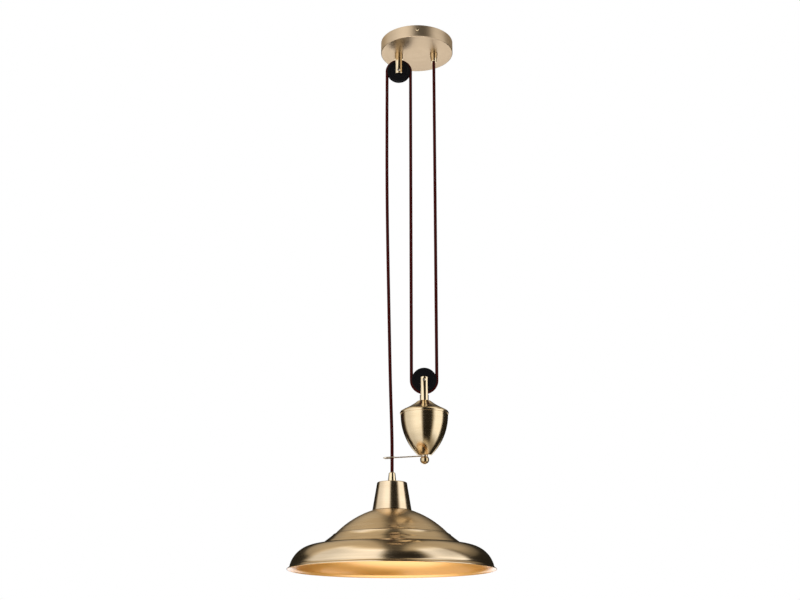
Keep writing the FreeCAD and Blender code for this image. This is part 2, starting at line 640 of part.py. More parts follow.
# ---------------------------------------------------------------------------
# Flex: one cord, as the stretches that stand still, stretch out or go with a pulley
# ---------------------------------------------------------------------------
def vertical_flex(node, x, top, bottom):
    """A straight stretch of flex between two heights."""
    run = primitive("Part::Cylinder", node, Radius="flex_radius", Height=f"({top}) - ({bottom})")
    return keep(node, place(run, x=x, z=bottom))


def make_flex():
    """The flex from its end in the rose to its end in the lampholder."""
    rose_x, weight_left = "weight_x + flex_bend", "weight_x - flex_bend"
    rose_x_drop, weight_pin = "-rose_depth - fork_pin", "-weight_pin_drop"
    grip_mouth = "-rose_depth - grip_length"
    vertical_flex("flex_rose_end", rose_x, "nipple_length - rose_depth - 1", grip_mouth)
    vertical_flex("flex_fixed_run", rose_x, grip_mouth, weight_pin)
    under = primitive("Part::Torus", "flex_weight_turn", Radius1="flex_bend", Radius2="flex_radius")
    under.Angle3 = 180
    place(under, x="weight_x", z=weight_pin, axis=(1, 0, 0), angle=-90)
    keep("flex_weight_turn", under)
    vertical_flex("flex_middle_run", weight_left, rose_x_drop, weight_pin)

    # The last run leaves the upper pulley at a slant, and turns vertical at the knee.
    bend, radius = size("flex_bend"), size("flex_radius")
    hub = Vector(size("weight_x - 2 * flex_bend"), 0, size(rose_x_drop))
    knee = Vector(size("shade_x"), 0, -size("knee_drop"))
    mouth = Vector(size("shade_x"), 0, size("grip_length - cover_drop"))
    away = knee - hub
    leave_angle = math.atan2(away.z, away.x) - math.acos(bend / away.Length)
    leave = hub + Vector(math.cos(leave_angle), 0, math.sin(leave_angle)) * bend
    slant = (knee - leave).getAngle(mouth - knee)
    knee_bend = 0.45 * (mouth - knee).Length / math.tan(slant / 2)
    run, length = swept([leave, knee, mouth], [knee_bend], radius)
    drop = doc.addObject("Part::Feature", "flex_shade_run")
    drop.Shape = run
    keep("flex_shade_run", drop)
    over = doc.addObject("Part::Torus", "flex_rose_turn")
    over.Radius1, over.Radius2 = bend, radius
    over.setExpression("Radius1", bound("flex_bend"))
    over.setExpression("Radius2", bound("flex_radius"))
    over.Angle3 = math.degrees(leave_angle) % 360
    place(over, x="weight_x - 2 * flex_bend", z=rose_x_drop, axis=(1, 0, 0), angle=90)
    keep("flex_rose_turn", over)
    vertical_flex("flex_lamp_end", "shade_x", "grip_length - cover_drop",
                  "-cover_drop - nipple_length - 1")
    section = math.pi * radius ** 2
    print(f"shade run: knee radius {knee_bend:.0f}, length {length:.1f}, "
          f"volume over section times length {run.Volume / (section * length):.4f}")
    return length


# ---------------------------------------------------------------------------
# Assembly
# ---------------------------------------------------------------------------
make_ceiling_plate()
make_rose()
make_side_screws()
make_terminal_block()
make_pulley("upper", "weight_x - 2 * flex_bend", "-rose_depth - fork_pin", "-rose_depth", True)
place(hex_nut("fork_nut", "stud_nut", "stud_radius + screw_fit", "nut_thick"),
      x="weight_x - 2 * flex_bend", z="rose_wall - rose_depth")
place(make_grip("ceiling_grip"), x="weight_x + flex_bend", z="-rose_depth", axis=(1, 0, 0), angle=180.0)
place(hex_nut("grip_nut", "nipple_nut", "nipple_radius + screw_fit", "nipple_nut_thick"),
      x="weight_x + flex_bend", z="rose_wall - rose_depth")
make_rose_wiring()

make_pulley("lower", "weight_x", "-weight_pin_drop", WEIGHT_BASE, False)
make_cap()
make_shell()
make_core()
make_guide_arm()
make_finial()

place(make_grip("shade_grip"), x="shade_x", z="-cover_drop")
make_cover()
place(hex_nut("cover_nut", "nipple_nut", "nipple_radius + screw_fit", "nipple_nut_thick"),
      x="shade_x", z="-cover_drop - cover_wall - nipple_nut_thick")
make_shade()
make_lampholder()
make_holder_wiring()
shade_run = make_flex()

# ---------------------------------------------------------------------------
# Checks and export
# ---------------------------------------------------------------------------
doc.recompute()
failed = [o.Name for o in doc.Objects if {"Invalid", "Error"} & set(o.State)]
if failed:
    raise RuntimeError("failed objects: " + ", ".join(failed))
for node, piece in PIECES:
    if piece.Shape.isNull() or not piece.Shape.isValid():
        raise RuntimeError(node + " has no valid shape")

os.makedirs("parts", exist_ok=True)
for node, piece in PIECES:
    piece.Shape.exportStep(os.path.join("parts", node + ".step"))
    print(f"{node:22s} {len(piece.Shape.Solids)} solid(s) {piece.Shape.Volume / 1000:9.3f} cm3")
flex_length = (size("nipple_length - 1 + grip_length") + shade_run
               + size("weight_pin_drop - rose_depth - grip_length")
               + size("weight_pin_drop - rose_depth - fork_pin")
               + 2 * math.pi * size("flex_bend") + size("grip_length + nipple_length + 1"))
print(f"{len(PIECES)} nodes, flex {flex_length / 1000:.3f} m long from end to end")
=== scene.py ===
# %% [markdown]
# # A rise and fall pendant in brass
# A wide spun shade and an urn-shaped counterweight hang on one braided flex that runs over two
# black pulleys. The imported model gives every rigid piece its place, so this file only makes what
# the eye judges: smooth spun surfaces, brushed and polished brass, moulded plastic and braid.

# %% Load the frame
import math
import bmesh
import bpy
from mathutils import Matrix, Vector


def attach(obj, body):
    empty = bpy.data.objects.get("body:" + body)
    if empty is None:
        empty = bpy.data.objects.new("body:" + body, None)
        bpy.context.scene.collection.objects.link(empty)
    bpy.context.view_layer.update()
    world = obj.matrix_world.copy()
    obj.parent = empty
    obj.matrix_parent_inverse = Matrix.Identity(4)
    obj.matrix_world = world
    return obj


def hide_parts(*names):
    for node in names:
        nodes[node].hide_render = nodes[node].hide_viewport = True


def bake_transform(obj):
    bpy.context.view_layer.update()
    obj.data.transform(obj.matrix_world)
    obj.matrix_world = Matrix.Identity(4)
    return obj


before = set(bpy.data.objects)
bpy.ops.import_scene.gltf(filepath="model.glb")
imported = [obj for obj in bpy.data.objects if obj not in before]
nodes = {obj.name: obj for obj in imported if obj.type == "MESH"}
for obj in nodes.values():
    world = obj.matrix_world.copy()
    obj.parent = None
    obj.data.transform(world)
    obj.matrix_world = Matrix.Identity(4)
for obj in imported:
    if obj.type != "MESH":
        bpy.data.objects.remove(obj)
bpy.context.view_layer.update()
MM = 0.001
SHADE_X, WEIGHT_X, ROSE_FORK_X, GRIP_X = -52.2, 11.5, -39.3, 36.9  # upright axes, in millimetres
ROSE_FACE, HIGH, LOW = -26.0, -68.6, -756.5  # heights of the rose's face and of the two axles

# %% [markdown]
# ## Putting pieces in the scene
# Every piece takes the same steps: a mesh is worked on, an object shows it, the piece is put on
# the body it moves with, and the imported nodes it stands for are hidden.

# %% Helpers for meshes and objects
def linked(name, data):
    """A new object in the scene that shows the given data."""
    thing = bpy.data.objects.new(name, data)
    bpy.context.scene.collection.objects.link(thing)
    return thing


def mesh_from(name, work):
    """The mesh that was being worked on; its bmesh is freed."""
    mesh = bpy.data.meshes.new(name)
    work.to_mesh(mesh)
    work.free()
    return mesh


def assign(piece, body, node_names):
    """Puts a piece on its body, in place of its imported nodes."""
    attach(piece, body)
    if node_names:
        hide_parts(*node_names)


# %% [markdown]
# ## The camera
# The photograph was taken from a little below the rim of the shade, looking up by 17 degrees, so
# the flat underside of the ceiling rose shows as a wide ellipse. A camera is fitted to outlines
# with known radii: the ellipses of the rim and the rose give its height and its tilt, and the
# spacing of the runs of flex gives its distance.

# %% Camera at the photograph's viewing angle
camera = linked("camera", bpy.data.cameras.new("camera"))
camera.data.lens = 52.92
camera.data.sensor_width = 36.0
camera.data.clip_end = 50.0
camera.location = (-0.0367, -2.290, -1.306)
camera.rotation_euler = (math.radians(90 + 17.4), 0, 0)
bpy.context.scene.camera = camera
bpy.context.scene.view_settings.view_transform = "Standard"


# %% [markdown]
# ## Writing shader maths as expressions
# A finish such as brushing is a sum: a fine streak, a slow cloud, a mask. Wiring Math nodes by
# hand hides that sum. A small class wraps a socket, so that `1 - mask * 0.3` adds the nodes, and
# one method adds any other node from its type, its settings and its inputs.

# %% A socket that can be used in sums, and a material that is being painted
class Field:
    """A number or a vector that varies over a surface: an output socket with operators."""

    def __init__(self, paint, socket):
        self.paint, self.socket = paint, socket

    def _sum(self, operation, first, second):
        return self.paint.node("ShaderNodeMath", {"operation": operation}, first, second)

    def __add__(self, other): return self._sum("ADD", self, other)
    def __radd__(self, other): return self._sum("ADD", other, self)
    def __sub__(self, other): return self._sum("SUBTRACT", self, other)
    def __rsub__(self, other): return self._sum("SUBTRACT", other, self)
    def __mul__(self, other): return self._sum("MULTIPLY", self, other)
    def __truediv__(self, other): return self._sum("DIVIDE", self, other)
    def __pow__(self, other): return self._sum("POWER", self, other)

    def wave(self):
        return self._sum("SINE", self, 0.0)

    def size(self):
        return self._sum("ABSOLUTE", self, 0.0)

    def largest(self, other):
        return self._sum("MAXIMUM", self, other)

    def ramp(self, low, high, to_low=0.0, to_high=1.0):
        """A soft step from to_low to to_high as the field goes from low to high."""
        return self.paint.node("ShaderNodeMapRange", {"interpolation_type": "SMOOTHSTEP"},
                               self, low, high, to_low, to_high)


class Paint:
    """A node material, or the world, while it is being painted."""

    def __init__(self, owner):
        owner.use_nodes = True
        self.owner, self.tree = owner, owner.node_tree
        self.tree.nodes.clear()

    def node(self, kind, settings, *values, out=0, **named):
        """Adds a node: its settings first, then its inputs in order or by name. Gives one output."""
        node = self.tree.nodes.new(kind)
        for key, value in settings.items():
            setattr(node, key, value)
        pairs = list(zip([s for s in node.inputs if s.enabled], values))
        pairs += [(node.inputs[key.replace("_", " ")], value) for key, value in named.items()]
        for socket, value in pairs:
            if isinstance(value, Field):
                self.tree.links.new(value.socket, socket)
            elif value is not None:
                if socket.type == "RGBA" and len(value) == 3:
                    value = (*value, 1.0)
                socket.default_value = value
        return Field(self, node.outputs[out])

    def place(self, centre=(0, 0, 0)):
        """Object coordinates in metres, measured from a point of the pendant."""
        where = self.node("ShaderNodeTexCoord", {}, out=3)
        return self.node("ShaderNodeMapping", {}, where, [-c * MM for c in centre])

    def split(self, vector):
        parts = [self.node("ShaderNodeSeparateXYZ", {}, vector, out=0)]
        parts += [Field(self, parts[0].socket.node.outputs[i]) for i in (1, 2)]
        return parts

    def join(self, x, y, z):
        return self.node("ShaderNodeCombineXYZ", {}, x, y, z)

    def noise(self, vector, scale, detail=2.0, rough=0.5):
        return self.node("ShaderNodeTexNoise", {}, Vector=vector, Scale=scale, Detail=detail,
                         Roughness=rough)

    def blend(self, factor, first, second):
        return self.node("ShaderNodeMix", {"data_type": "RGBA"}, factor, first, second, out=2)

    def bump(self, height, metres, strength=1.0, under=None):
        return self.node("ShaderNodeBump", {}, Strength=strength, Distance=metres, Height=height,
                         Normal=under)

    def surface(self, **sockets):
        """The principled shader and the output, with every given socket set or linked."""
        return self.finish(self.node("ShaderNodeBsdfPrincipled", {}, **sockets))

    def finish(self, shader, output="ShaderNodeOutputMaterial"):
        """Links a shader to a new output node and gives the painted material or world."""
        self.tree.links.new(shader.socket, self.tree.nodes.new(output).inputs[0])
        return self.owner


def new_paint(name):
    return Paint(bpy.data.materials.new(name))


# %% [markdown]
# ## The studio
# Brass is nearly all reflection, so the room matters as much as the metal. The photograph's
# stripes tell what the room was. Two tall soft lights stand left and right of the camera, with a
# dark gap between them a little right of centre. A dimmer, warmer sheet hangs over the lamp. The
# back is dark but for one low band, and the ground glows straight below and low in front. One
# large dome that the camera can't see carries that pattern as light, measured by compass angle and
# by height. It hides the white world from everything but the camera, for which it is the
# background.

# %% World, floor and the dome of soft light
DOME_CENTRE = (-30, 0, -700)  # in millimetres
DOME_RADIUS, FLOOR_LEVEL, FLOOR_REACH = 4.0, -1.95, 2.6  # in metres


def make_world():
    world = bpy.data.worlds.new("white_room")
    bpy.context.scene.world = world
    paint = Paint(world)
    paint.finish(paint.node("ShaderNodeBackground", {}, (1, 1, 1), 1.0), "ShaderNodeOutputWorld")


def stage_mesh(name, mesh, material):
    mesh.materials.append(material)
    thing = linked(name, mesh)
    return thing


def make_dome_light():
    """Soft boxes as bright fields on a dome: their edges are compass angles from the camera side."""
    paint = new_paint("studio_light")
    x, y, z = paint.split(paint.place(DOME_CENTRE))
    across = paint.node("ShaderNodeMath", {"operation": "ARCTAN2"}, x, y * -1.0) * (180 / math.pi)
    level, aside = z / DOME_RADIUS, x / DOME_RADIUS

    # two soft boxes, brightest beside the gap between them, dimmer at their feet and tops
    left = across.ramp(-122, -100) * across.ramp(-20, -6, 1.0, 0.0) * across.ramp(-95, -35, 0.86, 1.35)
    left = left * level.ramp(0.30, 0.60, 1.0, 0.90) * level.ramp(-0.75, -0.25, 0.72, 1.0)
    right = across.ramp(35, 58) * across.ramp(92, 104, 1.0, 0.0) * level.ramp(-0.75, -0.35, 0.35, 1.35)
    right = right * level.ramp(0.30, 0.60, 1.0, across.ramp(45, 85, 0.86, 0.55))
    boxes = (left + right) * level.ramp(0.80, 0.97, 1.0, 0.0)

    # a dim sheet overhead, where the boxes end, with a dark strip over the middle
    beside = aside.ramp(-0.19, -0.06, 1.0, 0.0) + aside.ramp(0.12, 0.24, 0.0, 0.82)
    rising = level.ramp(0.42, 0.72, aside.ramp(-0.2, 0.2, 0.30, 0.10), 0.50)
    past_boxes = (across.size().ramp(95, 120) + level.ramp(0.72, 0.90)).ramp(0.0, 1.0)
    overhead = past_boxes * level.ramp(0.35, 0.45) * (rising * beside + 0.05)

    # a low band at the back, and the ground's glow: straight below, and all along the front
    back_band = across.size().ramp(135, 160) * level.ramp(-0.75, -0.6)
    back_band = back_band * level.ramp(-0.2, -0.1, 1.0, 0.0)
    under = level.ramp(-0.98, -0.82, 2.5, 0.0)
    around = across.ramp(-160, -125) * across.ramp(95, 135, 1.0, 0.0)
    low_front = around * level.ramp(-0.93, -0.70, across.ramp(-80, 70, 2.6, 0.60), 0.0)
    glow = boxes.largest(low_front).largest(under) + overhead + back_band * 1.4 + 0.02
    # the boxes and the ground are white, the rest is warmer
    cool = (boxes + back_band + under).ramp(0.1, 0.9)
    tint = paint.blend(cool, (1.0, 0.88, 0.68), (1.0, 1.03, 1.10))
    paint.finish(paint.node("ShaderNodeEmission", {}, tint, glow))

    work = bmesh.new()
    bmesh.ops.create_uvsphere(work, u_segments=64, v_segments=32, radius=DOME_RADIUS)
    work.transform(Matrix.Translation([c * MM for c in DOME_CENTRE]))
    dome = stage_mesh("studio_dome", mesh_from("studio_dome", work), paint.owner)
    dome.visible_camera = False
    dome.visible_shadow = False


def make_floor():
    """A plain pale floor, clear from below. Brass mirrors the dome instead of it."""
    paint = new_paint("white_floor")
    below = paint.node("ShaderNodeNewGeometry", {}, out=6)
    paint.surface(Base_Color=(0.86, 0.86, 0.86), Roughness=0.7, Alpha=1.0 - below,
                  Emission_Color=(1, 1, 1), Emission_Strength=0.62)
    corners = [(x * FLOOR_REACH, y * FLOOR_REACH, FLOOR_LEVEL)
               for x, y in ((-1, -1), (1, -1), (1, 1), (-1, 1))]
    mesh = bpy.data.meshes.new("floor")
    mesh.from_pydata(corners, [], [(0, 1, 2, 3)])
    floor = stage_mesh("floor", mesh, paint.owner)
    floor.visible_glossy = False
    floor.visible_diffuse = False


make_world()
make_dome_light()
make_floor()
print("studio made")

# %% [markdown]
# ## Brass, brushed, polished and lacquered
# The shade, the neck and the urn are spun and brushed on a lathe, so their scratches run round
# the axis. The rose has the same brushing in a duller, flatter tan, and the inside of the shade has
# it under a clear coat. Forks, grips, arm and ball are polished. Brushing is noise that is
# stretched round the axis: its coordinates are the direction from the axis, which changes slowly,
# and the distance and height, which change fast.

# %% Brushed, polished and inner brass
def brushed_brass(name, centre, colour, dark, rough, streak=1.0, lacquer=0.0, satin=0.0, metal=1.0):
    """Brass with lathe marks round a vertical axis through centre, in millimetres.

    satin is added to the roughness of the dome, between the neck and the shoulder."""
    paint = new_paint(name)
    where = paint.place(centre)
    x, y, z = paint.split(where)
    radius = (x * x + y * y) ** 0.5 + 1e-6
    side_x, side_y, track = x / radius, y / radius, radius + z * 0.83
    fine = paint.noise(paint.join(side_x * 0.35, side_y * 0.35, track * 900), 1.0, 3.0, 0.65)
    broad = paint.noise(paint.join(side_x * 0.8, side_y * 0.8, track * 90), 1.0, 2.0, 0.5)
    cloud = paint.noise(where, 9.0, 3.0, 0.5)
    worn = (fine - 0.5) * 0.55 * streak + (broad - 0.5) * 0.5 + (cloud - 0.5) * 0.35 + 0.5
    tone = paint.blend(worn.ramp(0.2, 0.8), dark, colour)
    gloss = rough + (fine - 0.5) * 0.16 * streak + (cloud - 0.5) * 0.08
    if satin:
        gloss = gloss + radius.ramp(0.036, 0.042) * radius.ramp(0.108, 0.120, satin, 0.0)
    normal = paint.bump(fine, 0.00002, 0.5 * streak, paint.bump(broad, 0.00004, 0.35))
    return paint.surface(Base_Color=tone, Metallic=metal, Roughness=gloss, Coat_Weight=lacquer,
                         Coat_Roughness=0.12, Normal=normal)


def polished_brass(name, colour=(0.90, 0.72, 0.45), rough=0.12):
    """Turned and polished brass: faint turning marks and a slow change of tone."""
    paint = new_paint(name)
    where = paint.place()
    cloud = paint.noise(where, 60.0, 3.0, 0.6)
    fine = paint.noise(where, 900.0, 2.0, 0.6)
    tone = paint.blend(cloud, [c * 0.86 for c in colour], colour)
    return paint.surface(Base_Color=tone, Metallic=1.0, Roughness=rough + (cloud - 0.5) * 0.12,
                         Normal=paint.bump(fine, 0.00002, 0.25))


SHADE_AXIS, WEIGHT_AXIS, ROSE_AXIS = (SHADE_X, 0, 0), (WEIGHT_X, 0, 0), (0, 0, 0)
shade_brass = brushed_brass("shade_brass", SHADE_AXIS, (0.86, 0.68, 0.45), (0.72, 0.54, 0.33), 0.17,
                            satin=0.09)
urn_brass = brushed_brass("urn_brass", WEIGHT_AXIS, (0.82, 0.65, 0.41), (0.69, 0.53, 0.31), 0.16)
rose_brass = brushed_brass("rose_brass", ROSE_AXIS, (0.66, 0.50, 0.32), (0.57, 0.42, 0.26), 0.38,
                           streak=0.8)
inner_gold = brushed_brass("inner_gold", SHADE_AXIS, (1.0, 0.54, 0.13), (0.97, 0.48, 0.10), 0.40,
                           streak=0.5, lacquer=1.0, metal=0.45)
bright_brass = polished_brass("bright_brass")
arm_brass = polished_brass("arm_brass", (0.88, 0.78, 0.62), 0.32)
# The ball nut gets a darker copy of the polished brass: painted shade for the dim surroundings that it
# mirrors.
ball_brass_painted_shade = polished_brass("ball_brass_painted_shade", (0.62, 0.46, 0.25), 0.16)
print("brass made")

# %% [markdown]
# ## Plastics, steel and the small hidden materials
# The pulleys are moulded in black plastic with a faint grain. The lampholder is glossy phenolic
# round a white porcelain insert. Nuts, axles and the ceiling plate are zinc-plated steel, and
# the counterweight's core is rough cast iron. None of them is one flat colour: each gets a grain
# of its own size in its tone, its gloss and its relief.

# %% One grained finish for plastics, iron, porcelain and plate
def grained(name, colour, other, rough, metal=0.0, grain=400.0, relief=0.00004, spread=0.1,
            coat=0.0, shine=0.5):
    """A finish whose tone, gloss and relief follow one noise of the given grain, in waves a metre."""
    paint = new_paint(name)
    where = paint.place()
    grains = paint.noise(where, grain, 3.0, 0.6)
    cloud = paint.noise(where, grain / 12, 2.0, 0.5)
    tone = paint.blend(grains * 0.5 + cloud * 0.5, other, colour)
    return paint.surface(Base_Color=tone, Metallic=metal, Roughness=rough + (grains - 0.5) * spread,
                         Coat_Weight=coat, Specular_IOR_Level=shine,
                         Normal=paint.bump(grains, relief, 0.5))


wheel_black = grained("wheel_black", (0.007, 0.007, 0.008), (0.003, 0.003, 0.004), 0.42, spread=0.2,
                      shine=0.14)
phenolic = grained("phenolic", (0.022, 0.018, 0.016), (0.012, 0.010, 0.009), 0.22, grain=150,
                   relief=0.00001)
porcelain = grained("porcelain", (0.86, 0.85, 0.81), (0.80, 0.79, 0.75), 0.14, grain=120,
                    relief=0.00002, coat=0.4)
zinc = grained("zinc", (0.66, 0.67, 0.68), (0.52, 0.53, 0.55), 0.34, metal=1.0, grain=700, spread=0.2)
iron = grained("iron", (0.10, 0.095, 0.09), (0.045, 0.042, 0.040), 0.62, metal=0.8, grain=500,
               relief=0.0003)
block_white = grained("block_white", (0.84, 0.84, 0.80), (0.78, 0.78, 0.74), 0.42, grain=300)
shell_brass = polished_brass("shell_brass", (0.78, 0.62, 0.34), 0.24)
core_finishes = [grained("core_" + name, tone, [c * 0.75 for c in tone], 0.4, grain=250)
                 for name, tone in (("brown", (0.13, 0.05, 0.02)), ("blue", (0.02, 0.08, 0.32)),
                                    ("green", (0.12, 0.36, 0.05)))]


# %% [markdown]
# ## The braid of the flex
# The flex is covered with a braid of two families of yarns that wind opposite ways and pass over
# and under each other. The tube carries its own coordinates: the direction round it and the
# length along it. Both families are waves in those two numbers, and a third wave says which is
# on top. The number of yarns is whole, so nothing shows where the angle starts again.

# %% Braided oxblood textile
def braided_textile():
    paint = new_paint("oxblood_braid")
    place = paint.node("ShaderNodeAttribute", {"attribute_name": "braid"}, out=1)
    around_x, around_y, along = paint.split(place)
    angle = paint.node("ShaderNodeMath", {"operation": "ARCTAN2"}, around_y, around_x)
    yarns, stitch = 8, 3.2 / 1.35 * MM  # yarns in the braid, and the length along it of one crossing
    winding = angle * (yarns / 2)
    climb = along * (math.pi / stitch)
    left, right = (winding + climb).wave().size(), (winding - climb).wave().size()
    over = (winding * 2).wave() * (climb * 2).wave()
    raised = left * over.ramp(-0.25, 0.25) + right * over.ramp(-0.25, 0.25, 1.0, 0.0)
    fibre = paint.noise(paint.join(around_x * 9, around_y * 9, along * 5200), 1.0, 2.0, 0.6)
    # The yarn on top is painted lighter as a painted sheen on its crown, and the hollows between yarns
    # are painted darker as painted shade. The fibre noise varies the tone at random.
    tone = paint.blend(raised.ramp(0.1, 0.95) * (0.75 + fibre * 0.4),
                       (0.026, 0.0040, 0.0032), (0.072, 0.0096, 0.0076))
    relief = paint.bump(raised + fibre * 0.25, 0.00010, 0.7)
    return paint.surface(Base_Color=tone, Roughness=0.72 + fibre * 0.2, Specular_IOR_Level=0.02,
                         Normal=relief)


braid = braided_textile()


# %% [markdown]
# ## Turning a profile
# Most pieces are bodies of revolution, as on the real lamp. A profile is a closed list of points
# (radius, height, edge), where edge is the radius of the small round that a tool or a polishing
# wheel leaves on that corner. An entry can also bend the line to the next point into an arc. Extra
# rings beside each round keep the flats flat under smooth shading.

# %% Lathe helpers
def arc_points(start, end, radius, side, step):
    """Points inside the arc from start to end; its centre is left (+1) or right (-1) of the way."""
    chord = end - start
    rise = math.sqrt(max(radius ** 2 - (chord.length / 2) ** 2, 0))
    centre = (start + end) / 2 + Vector((-chord.y, chord.x)).normalized() * rise * side
    first = math.atan2(*(start - centre).yx)
    turn = (math.atan2(*(end - centre).yx) - first) * side % (2 * math.pi) * side
    count = max(3, math.ceil(abs(turn) * radius / step))
    angles = [first + turn * i / count for i in range(1, count)]
    return [centre + Vector((math.cos(a), math.sin(a))) * radius for a in angles]


def section(profile, step):
    """The profile as a dense closed line: arcs stepped, edges rounded, flats kept flat."""
    line = []
    for i, entry in enumerate(profile):
        here, following = Vector(entry[:2]), Vector(profile[(i + 1) % len(profile)][:2])
        line.append((here, entry[2] if len(entry) > 2 else 0.0))
        if len(entry) > 3:
            line += [(p, 0.0) for p in arc_points(here, following, entry[3], entry[4], step)]
    dense = []
    for i, (here, edge) in enumerate(line):
        before, after = line[i - 1][0], line[(i + 1) % len(line)][0]
        if edge <= 0:
            dense.append(here)
            continue
        back, ahead = (before - here).normalized(), (after - here).normalized()
        half = (math.pi - back.angle(ahead)) / 2
        reach = min(edge * math.tan(half), 0.45 * min((before - here).length, (after - here).length))
        enter, leave = here + back * reach, here + ahead * reach
        gap = reach * (1 / math.cos(half) - 1) / max(math.tan(half), 1e-6)  # from corner to round
        middle = here + (back + ahead).normalized() * gap
        margin = min(0.3, reach)
        dense += [enter + back * margin, enter, middle, leave, leave + ahead * margin]
    return dense


def turned(name, profile, x, material, body=None, node_names=(), segments=192, step=3.0,
           paint_by=None):
    """A turned piece round the vertical axis at x: profile in millimetres, heights from the ceiling.

    paint_by is a second material and a test that says which faces get it."""
    angles = [2 * math.pi * k / segments for k in range(segments)]
    work = bmesh.new()
    rings = []
    for radius, height in section(profile, step):
        if radius < 1e-6:
            rings.append([work.verts.new((x * MM, 0, height * MM))])
            continue
        rings.append([work.verts.new(((x + radius * math.cos(a)) * MM, radius * math.sin(a) * MM,
                                      height * MM)) for a in angles])
    for ring, following in zip(rings, rings[1:] + rings[:1]):
        if len(ring) == 1 and len(following) == 1:
            continue
        for k in range(segments):
            around = [ring[k % len(ring)], ring[(k + 1) % len(ring)],
                      following[(k + 1) % len(following)], following[k % len(following)]]
            work.faces.new(list(dict.fromkeys(around)))
    bmesh.ops.recalc_face_normals(work, faces=work.faces)
    piece = finished(name, work, material, body, node_names)
    if paint_by:
        piece.data.materials.append(paint_by[0])
        for face in piece.data.polygons:
            face.material_index = int(paint_by[1](face))
    return piece


def finished(name, work, material, body=None, node_names=()):
    """Makes the object from its mesh work, smooth, and on its body if that is given."""
    mesh = mesh_from(name, work)
    mesh.materials.append(material)
    mesh.shade_smooth()
    piece = linked(name, mesh)
    if body:
        assign(piece, body, node_names)
    return piece


# %% [markdown]
# ## The shade
# The shade is one disc of brass, spun over a former: a flat seat round the lampholder, a dome, a
# small bead and a band where the tool changed direction, then a full round lip that flares out to
# a rolled rim. The inside is a warm lacquered gold that lights itself by reflection, so its faces
# get a paint of their own.

# %% Spin the shade
RIM, WALL = -1128.0, 0.75
SEAT_BORE, SEAT = 20.5, 114.4  # heights in both lists are above the rim
outer = [(SEAT_BORE, SEAT, 0.2), (34.0, SEAT, 1.5), (37.6, 113.0, 0, 175.0, -1),
         (107.5, 69.5, 0.7), (109.6, 67.8, 0.8), (111.8, 66.1, 0, 1.6, -1), (114.0, 64.4, 0),
         (129.5, 52.5, 1.5), (137.0, 44.7, 0.5, 49.4, -1), (194.0, 9.5, 0, 8.0, 1),
         (198.6, 2.6, 0, 1.31, -1), (198.6, 0, 0.1)]
inner = [(198.6, 2.6, 0, 8.0, -1), (194.0, 9.5, 0, 49.4, 1), (137.0, 44.7, 0.5), (129.5, 52.5, 1.0),
         (109.6, 67.8, 0.8), (107.5, 69.5, 0, 175.0, 1), (37.6, 113.0, 0), (34.0, SEAT, 1.0),
         (SEAT_BORE + WALL, SEAT, 0.2)]
shade_profile = [(r, RIM + h, *bend) for r, h, *bend in outer]
shade_profile += [(r - WALL, RIM + h - WALL, *bend) for r, h, *bend in inner]


def faces_inward(face):
    """Whether a face of the shade looks down or at the axis."""
    from_axis = Vector((face.center.x - SHADE_X * MM, face.center.y))
    return face.normal.z < -0.02 or from_axis.dot(face.normal.xy) < 0


shade = turned("spun_shade", shade_profile, SHADE_X, shade_brass, "shade_set", ["shade"],
               288, 2.5, (inner_gold, faces_inward))
print("shade:", len(shade.data.polygons), "faces")

# %% [markdown]
# ## The neck cover
# A tapered spun cup with a soft round shoulder stands on the shade and hides the lampholder.

# %% Spin the neck cover
TOP = -960.5
FOOT = TOP - 54.25
turned("spun_neck", [
    (38.0, FOOT, 0.15), (29.3, TOP - 2.2, 0, 2.2, 1), (27.1, TOP, 0), (5.15, TOP, 0.2),
    (5.15, TOP - 1.0, 0.2), (26.1, TOP - 1.0, 0, 2.2, -1), (28.3, TOP - 3.2, 0), (37.0, FOOT, 0.15),
], SHADE_X, shade_brass, "shade_set", ["neck_cover"], 160, 0.8)

# %% [markdown]
# ## The ceiling rose
# A shallow cup with a flat face, a vertical wall and a polished round edge that catches a thin
# line of light. The turned mesh is closed over the two holes where the fork's stud and the grip
# pass, because both are covered from below by the pieces that pass through them.

# %% Spin the rose
ROSE_RADIUS = 78.0
turned("spun_rose", [
    (0, ROSE_FACE), (ROSE_RADIUS - 1.8, ROSE_FACE, 0, 1.8, 1), (ROSE_RADIUS, ROSE_FACE + 1.8, 0),
    (ROSE_RADIUS, 0, 0.3), (ROSE_RADIUS - 1.2, 0, 0.3), (ROSE_RADIUS - 1.2, ROSE_FACE + 1.2, 0.6),
    (0, ROSE_FACE + 1.2),
], 0.0, rose_brass, "ceiling_set", ["ceiling_rose"], 224, 0.4)

# %% [markdown]
# ## The counterweight
# Its shoulder is a concave spun cap with a turned-down brim, and its body is an urn with nearly
# straight sides at the top. Both are brushed round the axis. Under it a polished ball nut clamps
# the eye of the guide arm.

# %% Spin the cap and the urn, turn the ball
BASE = -799.1  # where the weight's fork stands on the cap
CAP, URN = BASE - 26.9, BASE - 26.9 + 3 - 84.5  # the lowest edges of the cap and the urn
EYE, EYE_THICK = -909.0, 2.9  # the guide arm's flat eye, on the ball's stud
BALL = EYE - EYE_THICK / 2 - 0.05 - 14.5
turned("spun_shoulder", [
    (4.05, CAP + 26.9, 0.2), (13.3, CAP + 26.9, 0.8, 121.2, 1), (41.0, CAP + 9.5, 0.6),
    (46.9, CAP + 6.0, 1.5), (48.4, CAP + 3.4, 0.8), (48.4, CAP, 0.25), (47.2, CAP, 0.25),
    (47.2, CAP + 3.0, 0.5), (46.2, CAP + 4.8, 0.5), (40.4, CAP + 8.3, 0.4, 121.2, -1),
    (12.6, CAP + 25.7, 0.5), (4.05, CAP + 25.7, 0.2),
], WEIGHT_X, urn_brass, "counterweight", ["counterweight_cap"], 160, 1.5)
